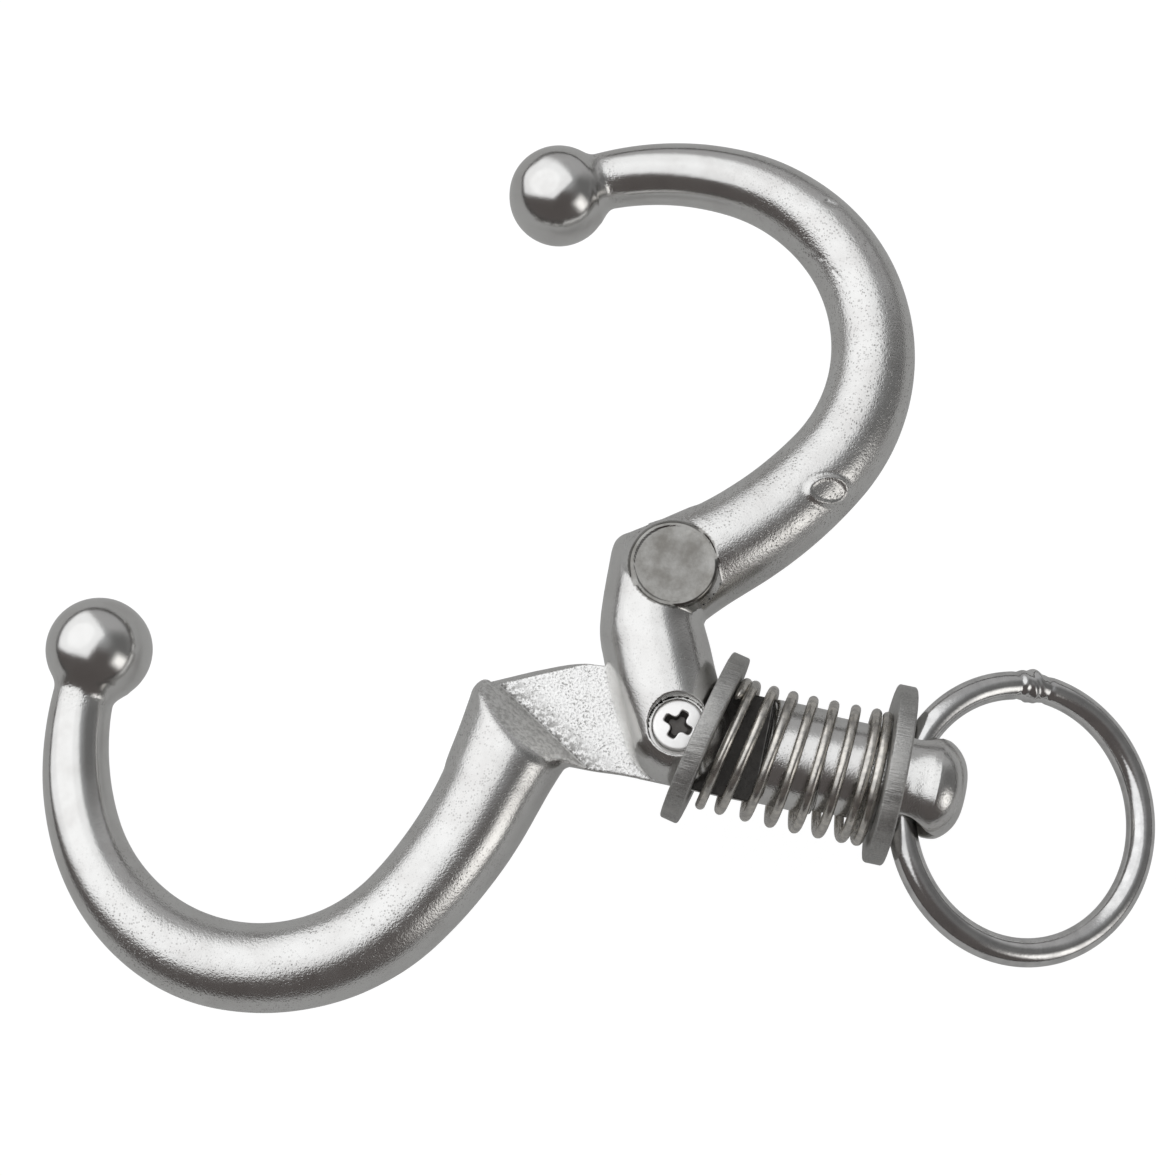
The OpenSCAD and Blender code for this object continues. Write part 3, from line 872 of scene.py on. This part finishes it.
# far enough below the pivot for the ring to hang straight down
GROUND_DEPTH = 2 * RING_R - RING_SLACK + RING_WIRE / 2 + 0.3
ROOM_WAY = (0.25, 1.0, 0.15)  # towards the room's lighter side
ROOM_DARK, ROOM_LIGHT = (0.115, 0.104, 0.101), (0.46, 0.46, 0.465)
SKIRTING = (0.07, 0.066, 0.064)
SOFT_BOXES = (  # azimuth, tilt from overhead, half sizes and softness at unit distance, light
    (60, 24, (0.42, 0.36), 0.30, (0.42, 0.43, 0.44)),
    (12, 60, (0.55, 0.45), 0.30, (0.17, 0.17, 0.17)),
    (156, 38.0, (0.90, 1.12), 0.16, (1.20, 1.21, 1.23)),
    (-19, 70, (0.24, 0.32), 0.15, (1.25, 1.23, 1.21)),
)


def direction(azimuth, tilt):
    a, t = radians(azimuth), radians(tilt)
    return Vector((sin(t) * cos(a), sin(t) * sin(a), cos(t)))


def glowing(n, grey, glow):
    """A dull surface that also gives off light."""
    new = n.tree.nodes.new
    dull, light, both = (new("ShaderNode" + kind) for kind in ("BsdfDiffuse", "Emission", "AddShader"))
    n.set(dull, "Color", (*grey, 1))
    n.set(light, "Strength", glow)
    n.set(both, 0, dull.outputs[0])
    n.set(both, 1, light.outputs[0])
    return both.outputs[0]


def make_ground():
    """Level ground: nearly white to the camera, grey with a faint glow to the metal that mirrors it."""
    bpy.ops.mesh.primitive_plane_add(size=6, location=PIVOT - Vector((0, 0, GROUND_DEPTH * MM)))
    ground = bpy.context.object
    ground.name = "ground"

    n = Nodes(bpy.data.materials.new("ground"))
    path = n.tree.nodes.new("ShaderNodeLightPath").outputs
    mirrored = n.math("MAXIMUM", path["Is Glossy Ray"], path["Is Transmission Ray"])
    in_metal = glowing(n, (0.43, 0.43, 0.425), n.math("MULTIPLY", mirrored, 0.12))
    seen = n.by_view(in_metal, glowing(n, (0.16, 0.16, 0.16), 0.93))
    n.set(n.tree.nodes["Material Output"], "Surface", seen)
    ground.data.materials.append(n.owner)


def soft_box(n, way, half, soft):
    """How much of a soft-edged lamp lies in each direction: 1 in its middle, 0 outside it."""
    turn = way.to_track_quat("Z", "Y").to_matrix()
    depth = n.vector("DOT_PRODUCT", way)
    seen = n.ramp(depth, 0.05, 0.2)
    for axis in (0, 1):
        off = n.math("ABSOLUTE", n.math("DIVIDE", n.vector("DOT_PRODUCT", turn.col[axis]), depth))
        seen = n.math("MULTIPLY", seen, n.ramp(off, half[axis] - soft, half[axis] + soft, 1.0, 0.0))
    return seen


def make_world():
    """White to the camera; to the metal, a room with soft-edged windows and a dark skirting."""
    world = bpy.data.worlds.new("studio")
    bpy.context.scene.world = world
    n = Nodes(world, "Generated")
    facing = n.vector("DOT_PRODUCT", Vector(ROOM_WAY).normalized())
    color = n.mix(n.ramp(facing, -0.1, 0.9), ROOM_DARK, ROOM_LIGHT)
    height = n.vector("DOT_PRODUCT", (0, 0, 1))
    for azimuth, tilt, half, soft, light in SOFT_BOXES:
        color = n.mix(soft_box(n, direction(azimuth, tilt), half, soft), color, light)
    color = n.mix(n.ramp(height, 0.06, 0.17), SKIRTING, color)
    room = n.tree.nodes["Background"]
    n.set(room, "Color", color)
    white = n.tree.nodes.new("ShaderNodeBackground")
    n.set(white, "Color", (1, 1, 1, 1))
    seen = n.by_view(room.outputs[0], white.outputs[0])
    n.set(n.tree.nodes["World Output"], "Surface", seen)


def make_light(name, way, distance, size, strength, color):
    """An oval lamp in that direction from the pivot, facing it."""
    data = bpy.data.lights.new(name, "AREA")
    data.shape = "ELLIPSE"
    data.size, data.size_y = size
    data.energy = strength * pi * size[0] * size[1]
    data.color = color
    lamp = bpy.data.objects.new(name, data)
    lamp.location = PIVOT + way * distance
    lamp.rotation_euler = way.to_track_quat("Z", "Y").to_euler()
    bpy.context.scene.collection.objects.link(lamp)


def make_camera():
    """Nearly overhead, a little in front and turned to the right."""
    data = bpy.data.cameras.new("camera")
    data.sensor_width = 36
    data.lens = CAMERA_LENS
    camera = bpy.data.objects.new("camera", data)
    camera.location = PIVOT + Vector(CAMERA_AT) * MM
    camera.rotation_euler = [radians(a) for a in CAMERA_TURN]
    bpy.context.scene.collection.objects.link(camera)
    bpy.context.scene.camera = camera


bpy.context.scene.view_settings.view_transform = "Standard"
cast = cast_steel()
dull_grey = washer_steel()
make_hook("fixed_hook", False, cast)
make_hook("moving_hook", True, cast)
make_screw(screw_steel())
make_washer("collar_washer", COLLAR_X, 0, COLLAR_LEAN, dull_grey, "collar", "lock_collar")
make_washer("end_washer", REAR_X, REAR_Y, 0, dull_grey, "washer", "rear_washer")
make_spring(spring_steel())
make_ring(ring_steel())
make_ground()
make_world()
make_light("window", direction(160, 38), 1.1, (1.2, 1.2), 0.12, (0.98, 0.99, 1.0))
make_light("side_lamp", direction(-20, 66), 1.2, (0.4, 0.5), 0.2, (1.0, 0.99, 0.97))
make_camera()
